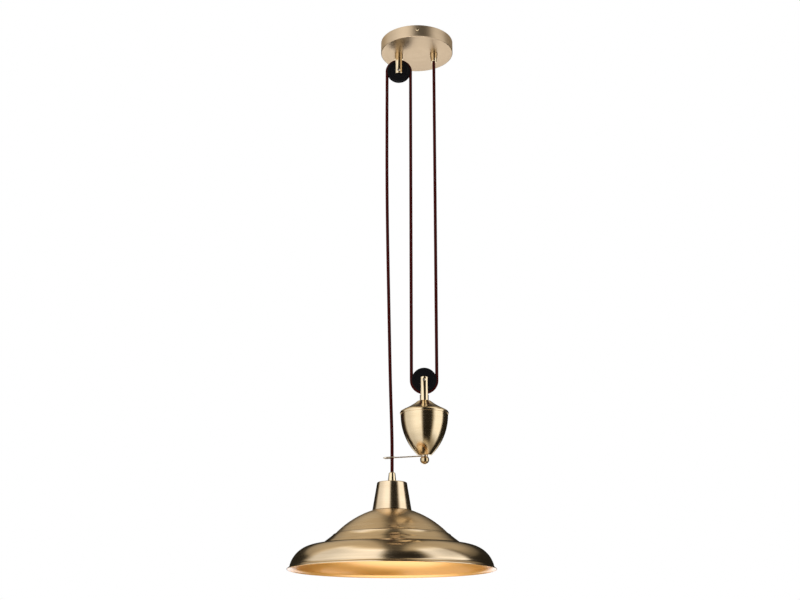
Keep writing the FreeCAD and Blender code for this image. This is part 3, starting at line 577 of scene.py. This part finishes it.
turned("spun_urn", [
    (3.2, URN, 0.15), (13.0, URN, 0.6), (14.0, URN + 0.8, 0.4, 114.0, 1), (47.0, URN + 84.5, 0.2),
    (45.8, URN + 84.5, 0.2, 114.0, -1), (12.8, URN + 1.8, 0.2), (12.0, URN + 1.2, 0.2),
    (3.2, URN + 1.2, 0.15),
], WEIGHT_X, urn_brass, "counterweight", ["counterweight_shell"], 160, 2.0)
turned("ball_nut", [
    (0, BALL, 0, 8.9, 1), (6.92, BALL + 14.5, 0.25), (3.0, BALL + 14.5, 0.1), (3.0, BALL + 32.3, 0.3),
    (0, BALL + 32.3),
], WEIGHT_X, ball_brass_painted_shade, "counterweight", ["finial_ball"], 96, 0.6)


# %% [markdown]
# ## Pulley wheels
# Two equal black wheels, each with a round groove for the flex, a hub and a thinner web. The
# profile is turned round a vertical axis first, and the mesh is then laid on its side.

# %% Mould the wheels
def wheel_profile():
    """One side of the section, the groove, and the side's mirror image."""
    half, web, edge, groove_round, groove_floor, groove_half = 4.8, 4.0, 24.9, 3.3, 22.1, 3.262
    side = [(4.05, half, 0.2), (8.5, half, 0.3), (8.5, web, 0.2), (19.5, web, 0.3),
            (19.5, half, 0.3), (edge, half, 0.6)]
    lower = [(r, -h, e) for r, h, e in reversed(side)]
    groove = [(edge, groove_half, 0.2, groove_round, 1), (groove_floor, 0, 0, groove_round, 1),
              (edge, -groove_half, 0.2)]
    return side + groove + lower


def make_wheel(name, x, z, body, node):
    wheel = turned(name, wheel_profile(), 0.0, wheel_black, segments=128, step=0.7)
    on_side = Matrix.Rotation(math.pi / 2, 4, "X")
    wheel.data.transform(Matrix.Translation((x * MM, 0, z * MM)) @ on_side)
    assign(wheel, body, [node])


make_wheel("rose_wheel", ROSE_FORK_X, HIGH, "upper_wheel", "upper_pulley")
make_wheel("weight_wheel", WEIGHT_X, LOW, "lower_wheel", "lower_pulley")


# %% [markdown]
# ## Forks
# Each fork is a polished bar with a stud at its base, a slot for the wheel, and a countersunk hole
# for the axle. Turning, milling and drilling follow the real order: a turned bar, then a box for
# the slot and drills for the hole and its two sinks are taken away with Boolean modifiers, and a
# narrow bevel softens what they leave.

# %% Turn, mill and drill the forks
def make_tool(kind, x, y, z, sizes):
    """A cutter: a box of three sizes, or a cylinder along Y of (radius, length)."""
    work = bmesh.new()
    if kind == "box":
        bmesh.ops.create_cube(work, size=1.0)
        work.transform(Matrix.Diagonal((*[s * MM for s in sizes], 1)))
    else:
        bmesh.ops.create_cone(work, cap_ends=True, segments=64, radius1=sizes[0] * MM,
                              radius2=sizes[0] * MM, depth=sizes[1] * MM)
        work.transform(Matrix.Rotation(math.pi / 2, 4, "X"))
    work.transform(Matrix.Translation((x * MM, y * MM, z * MM)))
    return linked("cutter", mesh_from("cutter", work))


def apply_modifiers(piece):
    """Makes a piece's modifiers permanent."""
    bpy.context.view_layer.update()
    seen = piece.evaluated_get(bpy.context.evaluated_depsgraph_get())
    mesh = bpy.data.meshes.new_from_object(seen)
    piece.modifiers.clear()
    piece.data = mesh


def cut_away(piece, tools, bevel=0.0):
    """Takes the tools out of a piece, softens the cut edges, and clears the tools away."""
    for tool in tools:
        cut = piece.modifiers.new("cut", "BOOLEAN")
        cut.object, cut.operation, cut.solver = tool, "DIFFERENCE", "EXACT"
    if bevel:
        soft = piece.modifiers.new("edges", "BEVEL")
        soft.width, soft.segments = bevel * MM, 2
        soft.limit_method, soft.angle_limit = "ANGLE", math.radians(40)
    apply_modifiers(piece)
    for tool in tools:
        bpy.data.objects.remove(tool)


def make_fork(name, x, base, up, body, node):
    """A fork whose base is at height base and whose slot points up (+1) or down (-1)."""
    radius, tall, stud, slot_foot, axle = 8.8, 49.2, 12.0, 12.6, 42.6
    slot_size, hole, sink, sink_floor = (30, 10.2, 50), 2.05, (3.2, 10), 7.9
    bar = turned(name, [
        (0, -stud), (4.0, -stud, 0.4), (4.0, 0, 0.1), (radius, 0, 0.5), (radius, tall, 1.2), (0, tall),
    ], 0.0, bright_brass, segments=96, step=2.0)
    cut_away(bar, [make_tool("box", 0, 0, slot_foot + slot_size[2] / 2, slot_size),
                   make_tool("drill", 0, 0, axle, (hole, 30)),
                   make_tool("drill", 0, -sink_floor - sink[1] / 2, axle, sink),
                   make_tool("drill", 0, sink_floor + sink[1] / 2, axle, sink)], bevel=0.25)
    flip = Matrix.Rotation(0 if up > 0 else math.pi, 4, "X")
    bar.data.transform(Matrix.Translation((x * MM, 0, base * MM)) @ flip)
    bar.data.shade_smooth()
    bar.data.set_sharp_from_angle(angle=math.radians(35))
    assign(bar, body, [node])


make_fork("rose_fork", ROSE_FORK_X, ROSE_FACE, -1, "ceiling_set", "upper_fork")
make_fork("weight_fork", WEIGHT_X, BASE, 1, "counterweight", "lower_fork")


# %% [markdown]
# ## Flex grips
# A tapered grip on a threaded nipple holds the flex at the rose and at the neck. Both are one
# profile, stood up or hung down.

# %% Turn the grips
def make_grip(name, x, base, up, body, node):
    """A grip whose shoulder is at height base and whose mouth points up (+1) or down (-1)."""
    profile = [(3.3, -12.0, 0.2), (5.0, -12.0, 0.3), (5.0, 0, 0.1), (8.4, 0, 0.5), (6.4, 18.2, 0.9),
               (5.6, 19.0, 0.3), (3.3, 19.0, 0.3)]
    placed = [(r, base + up * h, e) for r, h, e in profile]
    turned(name, placed, x, bright_brass, body, [node], 96, 2.0)


make_grip("rose_grip", GRIP_X, ROSE_FACE, -1, "ceiling_set", "ceiling_grip")
make_grip("neck_grip", SHADE_X, TOP, 1, "shade_set", "shade_grip")


# %% [markdown]
# ## Wires that follow a route
# The flex, the guide arm and the small cores are all of one thickness along a line. A Geometry
# Nodes tree with a named radius sweeps a circle along the line, and the same tree serves every one
# of them. It also writes where each point is, round the wire and along it, which the braid reads.

# %% A Geometry Nodes tree that sweeps a round wire
def new_tree(name, inputs):
    """A Geometry Nodes tree with named inputs: the tree, its input sockets and a way to add nodes."""
    tree = bpy.data.node_groups.new(name, "GeometryNodeTree")
    for label, kind in inputs.items():
        tree.interface.new_socket(label, in_out="INPUT", socket_type="NodeSocket" + kind)
    tree.interface.new_socket("Geometry", in_out="OUTPUT", socket_type="NodeSocketGeometry")

    def add(kind, settings=None, links=()):
        node = tree.nodes.new(kind)
        for key, value in (settings or {}).items():
            setattr(node, key, value)
        for socket, source in links:
            if hasattr(source, "links"):
                tree.links.new(source, node.inputs[socket])
            else:
                node.inputs[socket].default_value = source
        return node

    return tree, add("NodeGroupInput").outputs, add


def wire_tree():
    tree, given, add = new_tree("round_wire", {"Geometry": "Geometry", "Radius": "Float",
                                               "Sides": "Int", "Finish": "Material"})
    line = add("GeometryNodeMeshToCurve", None, [("Mesh", given["Geometry"])])
    reach = add("GeometryNodeSplineParameter")
    along = add("GeometryNodeCaptureAttribute", None, [("Geometry", line.outputs[0])])
    along.capture_items.new("FLOAT", "along")
    tree.links.new(reach.outputs["Length"], along.inputs["along"])
    ring = add("GeometryNodeCurvePrimitiveCircle", {"mode": "RADIUS"},
               [("Resolution", given["Sides"]), ("Radius", given["Radius"])])
    side = add("GeometryNodeInputPosition")
    round_it = add("GeometryNodeCaptureAttribute", None, [("Geometry", ring.outputs["Curve"])])
    round_it.capture_items.new("VECTOR", "around")
    tree.links.new(side.outputs[0], round_it.inputs["around"])
    tube = add("GeometryNodeCurveToMesh", None,
               [("Curve", along.outputs["Geometry"]), ("Profile Curve", round_it.outputs["Geometry"]),
                ("Fill Caps", True)])
    parts = add("ShaderNodeSeparateXYZ", None, [(0, round_it.outputs["around"])])
    where = add("ShaderNodeCombineXYZ", None,
                [(0, parts.outputs[0]), (1, parts.outputs[1]), (2, along.outputs["along"])])
    stored = add("GeometryNodeStoreNamedAttribute", {"data_type": "FLOAT_VECTOR", "domain": "POINT"},
                 [("Geometry", tube.outputs[0]), ("Name", "braid"), ("Value", where.outputs[0])])
    smooth = add("GeometryNodeSetShadeSmooth", None, [(0, stored.outputs[0])])
    real = add("GeometryNodeRealizeInstances", None, [(0, smooth.outputs[0])])
    paint = add("GeometryNodeSetMaterial", None,
                [("Geometry", real.outputs[0]), ("Material", given["Finish"])])
    add("NodeGroupOutput", None, [("Geometry", paint.outputs[0])])
    return tree


WIRE = wire_tree()


def set_inputs(modifier, **values):
    """Sets a Geometry Nodes modifier's inputs by their names, through their identifiers."""
    for item in modifier.node_group.interface.items_tree:
        if item.in_out == "INPUT" and item.name in values:
            modifier[item.identifier] = values[item.name]


def wire(name, lines, radius, sides, material):
    """Round wires along one or more lists of points, in metres, as one plain mesh."""
    mesh = bpy.data.meshes.new(name)
    points = [p for line in lines for p in line]
    edges, start = [], 0
    for line in lines:
        edges += [(start + i, start + i + 1) for i in range(len(line) - 1)]
        start += len(line)
    mesh.from_pydata(points, edges, [])
    piece = linked(name, mesh)
    modifier = piece.modifiers.new("wire", "NODES")
    modifier.node_group = WIRE
    set_inputs(modifier, Radius=radius * MM, Sides=sides, Finish=material)
    apply_modifiers(piece)
    return piece


def route(name, controls, resolution, in_arcs):
    """Points, in metres, read from a smooth spline whose controls are (x, z, weight) in millimetres.

    With in_arcs the line passes through every second control, as its arcs need."""
    curve = bpy.data.curves.new(name, "CURVE")
    curve.dimensions = "3D"
    spline = curve.splines.new("NURBS")
    spline.points.add(len(controls) - 1)
    for point, (x, z, weight) in zip(spline.points, controls):
        point.co = (x * MM, 0, z * MM, weight)
    spline.order_u = 3
    spline.use_endpoint_u = True
    spline.use_bezier_u = in_arcs
    spline.resolution_u = resolution
    holder = linked(name, curve)
    bpy.context.view_layer.update()
    seen = holder.evaluated_get(bpy.context.evaluated_depsgraph_get())
    line = bpy.data.meshes.new_from_object(seen)
    points = [v.co.copy() for v in line.vertices]
    bpy.data.objects.remove(holder)
    return points


def measured(points):
    """The length of a line through the points."""
    return sum((b - a).length for a, b in zip(points, points[1:]))


# %% [markdown]
# ## The flex
# One flex runs from the rose to the lampholder. Where it is tight round a pulley its line is a
# true arc of the pulley's size: a spline can hold a quarter circle exactly if the corner point
# weighs the cosine of 45 degrees. The last run isn't quite straight in the photograph; it leaves
# the pulley plumb, then leans in to the guide's eye. It is made in two pieces: the first runs from
# the rose round both pulleys, and the second from the rose's pulley down to the shade.

# %% Lay the flex over the pulleys
BEND, CORNER = 25.4, math.sqrt(0.5)  # radius of the flex on a pulley, weight of a corner point
ROSE_END, LAMP_END = -15.0, -973.5  # where the braid ends in the rose and in the neck
loop_controls = [
    (GRIP_X, ROSE_END, 1), (GRIP_X, (ROSE_END + LOW) / 2, 1), (GRIP_X, LOW, 1),
    (GRIP_X, LOW - BEND, CORNER), (WEIGHT_X, LOW - BEND, 1), (WEIGHT_X - BEND, LOW - BEND, CORNER),
    (WEIGHT_X - BEND, LOW, 1), (WEIGHT_X - BEND, (LOW + HIGH) / 2, 1), (WEIGHT_X - BEND, HIGH, 1),
    (WEIGHT_X - BEND, HIGH + BEND, CORNER), (ROSE_FORK_X, HIGH + BEND, 1),
    (ROSE_FORK_X - BEND, HIGH + BEND, CORNER), (ROSE_FORK_X - BEND, HIGH, 1),
]
drop_controls = [
    (ROSE_FORK_X - BEND, HIGH, 1), (ROSE_FORK_X - BEND, -190, 1), (-64.3, -330, 1), (-62.2, -470, 1),
    (-59.0, -620, 1), (-55.8, -770, 1), (-52.4, -870, 1), (SHADE_X, -920, 1), (SHADE_X, -941.5, 1),
    (SHADE_X, LAMP_END, 1),
]
loop_line = route("loop_route", loop_controls, 32, in_arcs=True)
drop_line = route("drop_route", drop_controls, 12, in_arcs=False)
flex_loop = wire("flex_loop", [loop_line], 3.25, 24, braid)
flex_drop = wire("flex_drop", [drop_line], 3.25, 24, braid)
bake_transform(flex_loop)
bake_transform(flex_drop)
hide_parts("flex_rose_end", "flex_fixed_run", "flex_weight_turn", "flex_middle_run",
            "flex_rose_turn")
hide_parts("flex_shade_run", "flex_lamp_end")
worst = max(abs(math.hypot(p.x / MM - WEIGHT_X, p.z / MM - LOW) - BEND)
            for p in loop_line if p.z / MM < LOW)
print(f"flex {measured(loop_line):.3f} + {measured(drop_line):.3f} m, "
      f"off the pulley's arc by {worst:.3f} mm")

# %% [markdown]
# ## The guide arm
# A thin brass wire runs from a flat eye on the ball's stud to an open oval eye round the flex. The
# real arm is one bent wire soldered to a washer, so it is made as a swept wire and a turned washer
# and joined.

# %% Bend the guide arm
def make_guide_arm():
    lift, tilt = EYE + EYE_THICK / 8, math.radians(-3.0)
    reach, bend, straight, start = 67.0, 5.6, 6.8, 5.5
    spare = 4.2  # more at the eye's far end, for the lean of the flex when the shade is low

    def at(u, v):
        return Vector(((WEIGHT_X - u * math.cos(tilt)) * MM, v * MM, (lift + u * math.sin(tilt)) * MM))

    loop, near = [], reach - straight / 2
    for centre, first in ((near, 90), (near + straight + spare, -90)):
        for k in range(25):
            a = math.radians(first + 180 * k / 24)
            loop.append(at(centre + bend * math.cos(a), bend * math.sin(a)))
    rod = [at(start + (near - bend - start) * k / 12, 0) for k in range(13)]
    arm = wire("guide_wire", [rod, loop + loop[:1]], 1.3, 16, arm_brass)
    low, high = EYE - EYE_THICK / 2, EYE + EYE_THICK / 2
    flat = [(3.3, low, 0.2), (6.5, low, 0.4), (6.5, high, 0.4), (3.3, high, 0.2)]
    washer = turned("guide_washer", flat, WEIGHT_X, arm_brass, segments=64)
    work = bmesh.new()
    for piece in (arm, washer):
        work.from_mesh(piece.data)
        bpy.data.objects.remove(piece)
    finished("guide_wire_arm", work, arm_brass, "counterweight", ["guide_arm"])


make_guide_arm()

# %% [markdown]
# ## Small repeated pieces
# The two side screws of the rose and the three screws of the terminal block are the same piece set
# down several times. A Geometry Nodes tree with a named count and step puts a copy at each place
# and turns it, so one screw is modelled and the tree does the rest.

# %% A Geometry Nodes tree that sets down copies
def copies_tree():
    tree, given, add = new_tree("set_down_copies", {
        "Geometry": "Geometry", "Count": "Int", "First": "Vector", "Step": "Vector", "Turn": "Float",
        "Finish": "Material"})
    places = add("GeometryNodeMeshLine", None, [("Count", given["Count"]), ("Offset", given["Step"]),
                                                ("Start Location", given["First"])])
    number = add("GeometryNodeInputIndex")
    turn = add("ShaderNodeMath", {"operation": "MULTIPLY"},
               [(0, number.outputs[0]), (1, given["Turn"])])
    spin = add("ShaderNodeCombineXYZ", None, [(2, turn.outputs[0])])
    copies = add("GeometryNodeInstanceOnPoints", None,
                 [("Points", places.outputs[0]), ("Instance", given["Geometry"]),
                  ("Rotation", spin.outputs[0])])
    real = add("GeometryNodeRealizeInstances", None, [(0, copies.outputs[0])])
    paint = add("GeometryNodeSetMaterial", None,
                [("Geometry", real.outputs[0]), ("Material", given["Finish"])])
    add("NodeGroupOutput", None, [("Geometry", paint.outputs[0])])
    return tree


COPIES = copies_tree()


def slotted_screw(name, head, thick, shank, length, slot_width, axis_turn, material):
    """A slotted pan-head screw at the origin, its head pointing up before axis_turn."""
    soft = thick * 0.15
    screw = turned(name, [
        (0, -length), (shank * 0.7, -length, soft), (shank, -length + 0.8, 0.1), (shank, 0, 0.05),
        (head, 0, soft / 2), (head, thick * 0.45, soft), (head * 0.72, thick, soft), (0, thick),
    ], 0.0, material, segments=48, step=0.4)
    cut_away(screw, [make_tool("box", 0, 0, thick * 1.1, (head * 3, slot_width, thick))])
    screw.data.transform(axis_turn)
    screw.data.set_sharp_from_angle(angle=math.radians(35))
    return screw


def set_down(screw, count, first, step, turn, material, body, replaced):
    """Puts copies of a screw at first, first + step and so on, each turned by turn from the last."""
    modifier = screw.modifiers.new("copies", "NODES")
    modifier.node_group = COPIES
    set_inputs(modifier, Count=count, First=[v * MM for v in first], Step=[v * MM for v in step],
               Turn=turn, Finish=material)
    apply_modifiers(screw)
    assign(screw, body, replaced)


PITCH = 8.0  # between the screws of the terminal block
sideways, upside_down = (Matrix.Rotation(math.radians(turn), 4, "X") for turn in (90, 180))
side_screw = slotted_screw("side_screws", 3.3, 2.2, 2.0, 8.0, 0.9, sideways, bright_brass)
set_down(side_screw, 2, (0, -ROSE_RADIUS, -10.7), (0, 2 * ROSE_RADIUS, 0), math.pi, bright_brass,
         "ceiling_set", ["rose_side_screws"])
block_screw = slotted_screw("terminal_screws", 1.5, 0.8, 1.2, 4.0, 0.5, upside_down, shell_brass)
set_down(block_screw, 3, (4.25, -PITCH, -12.0), (0, PITCH, 0), 0.4, shell_brass, "ceiling_set",
         None)

# %% [markdown]
# ## Cores
# Where the braid ends, the brown, blue and green cores go on to the terminal block and to the
# lampholder. They can only be seen with the rose taken down, but the real lamp has them.

# %% Lead the cores
def join_meshes(name, made, body, replaced):
    """Puts several one-finish wires into one piece."""
    work, finishes = bmesh.new(), [piece.data.materials[0] for piece in made]
    for number, piece in enumerate(made):
        start = len(work.faces)
        work.from_mesh(piece.data)
        work.faces.ensure_lookup_table()
        for face in work.faces[start:]:
            face.material_index = number
        bpy.data.objects.remove(piece)
    mesh = mesh_from(name, work)
    for finish in finishes:
        mesh.materials.append(finish)
    mesh.shade_smooth()
    assign(linked(name, mesh), body, replaced)


CORE, CORE_CIRCLE, BLOCK_LEVEL = 0.9, 1.6, -7.1  # a core's radius, their circle, the block's holes
rose_cores, holder_cores = [], []
for count, finish in enumerate(core_finishes):
    around = math.radians(180 + 120 * (count - 1))
    foot = Vector((GRIP_X + CORE_CIRCLE * math.cos(around), -CORE_CIRCLE * math.sin(around), ROSE_END))
    mouth = Vector((8.5, PITCH * (count - 1), BLOCK_LEVEL))
    line = [foot, foot + Vector((0, 0, 4)), Vector((foot.x - 0.6, foot.y, -8.4)),
            Vector((foot.x - 4, foot.y, BLOCK_LEVEL)), mouth + Vector((9, 0, 0)),
            mouth + Vector((5, 0, 0)), mouth - Vector((4, 0, 0))]
    rose_cores.append(wire("rose_core", [[p * MM for p in line]], CORE, 12, finish))
    around = math.radians(120 * count)
    top = Vector((SHADE_X + CORE_CIRCLE * math.cos(around), CORE_CIRCLE * math.sin(around), LAMP_END))
    line = [top, top - Vector((0, 0, 14.5))]
    holder_cores.append(wire("holder_core", [[p * MM for p in line]], CORE, 12, finish))
join_meshes("rose_cores", rose_cores, "ceiling_set", ["rose_wiring"])
join_meshes("holder_cores", holder_cores, "shade_set", ["holder_wiring"])

# %% [markdown]
# ## The lampholder
# A black phenolic lampholder hangs in the neck. Its flange rests on the shade's seat, a ribbed ring
# clamps the seat from below, and inside is the rolled thread that takes the lamp. The thread is
# turned as a wavy wall, because its rings are what the eye sees.

# %% Turn the lampholder's body, cap, ring and thread
FLANGE = RIM + SEAT
JOINT = FLANGE + 3.0  # where the body meets the cap
HOLDER, HOLDER_BORE = 19.6, 17.6
turned("lampholder_skirt", [
    (HOLDER_BORE, FLANGE - 26.4, 0.3), (HOLDER, FLANGE - 26.4, 0.5), (HOLDER, FLANGE, 0.1),
    (22.6, FLANGE, 0.3), (22.6, JOINT, 0.6), (HOLDER_BORE, JOINT, 0.2),
], SHADE_X, phenolic, "shade_set", ["lampholder_body"], 96, 2.0)
turned("lampholder_dome", [
    (HOLDER, JOINT, 0.3), (HOLDER, JOINT + 30.0, 3.0), (9.0, JOINT + 45.0, 1.0),
    (5.05, JOINT + 45.0, 0.2), (5.05, JOINT + 41.0, 0.2), (9.0, JOINT + 41.0, 0.8),
    (HOLDER_BORE, JOINT + 28.0, 2.0), (HOLDER_BORE, JOINT, 0.3),
], SHADE_X, phenolic, "shade_set", ["lampholder_cap"], 96, 2.0)


def make_clamp_ring():
    """The shade ring, with finger ribs round its outside."""
    top = FLANGE - WALL
    ring = turned("clamp_ring", [
        (19.65, top - 6.4, 0.2), (24.2, top - 6.4, 0.8), (24.8, top - 5.25, 0.3), (24.8, top, 0.3),
        (19.65, top, 0.2),
    ], SHADE_X, phenolic, "shade_set", ["shade_ring"], 240, 0.5)
    axis, ribs, rib_height = Vector((SHADE_X * MM, 0)), 40, 0.18 * MM
    for vertex in ring.data.vertices:
        out = vertex.co.xy - axis
        if out.length > 23.6 * MM and (top - 5.65) * MM < vertex.co.z < (top - 0.65) * MM:
            rib = math.cos(ribs * math.atan2(out.y, out.x))
            vertex.co.xy = axis + out.normalized() * (out.length + rib * rib_height)


make_clamp_ring()
CREST, DEPTH, THREAD_TOP, THREAD_LENGTH = 13.5, 0.28, -1012.0, 24.0
TURNS, STEPS = 6, 8
waves = []
for k in range(TURNS * STEPS + 1):
    swell = DEPTH * (1 - math.cos(2 * math.pi * k / STEPS)) / 2
    waves.append((CREST + swell, THREAD_TOP - THREAD_LENGTH * k / (TURNS * STEPS)))
turned("rolled_thread", waves + [(r + 0.4, z) for r, z in reversed(waves)],
       SHADE_X, shell_brass, "shade_set", ["thread_shell"], 96, 2.0)

# %% [markdown]
# ## Finishes for the pieces that stay as they come
# Nuts, axles, bushes, plate, block, core, insert and contact have simple shapes that the packed
# model already gives exactly. They only need their finish.

# %% Paint the carried-over nodes
plain = {"ceiling_plate": zinc, "terminal_block": block_white, "fork_nut": zinc, "upper_axle": zinc,
         "upper_bush": bright_brass, "grip_nut": zinc, "lower_axle": zinc, "lower_bush": bright_brass,
         "counterweight_core": iron, "cover_nut": zinc, "lampholder_insert": porcelain,
         "centre_contact": shell_brass}
for name, finish in plain.items():
    mesh = nodes[name].data
    if not mesh.materials:
        mesh.materials.append(finish)
    for number in range(len(mesh.materials)):
        mesh.materials[number] = finish
print("painted", len(plain), "nodes")
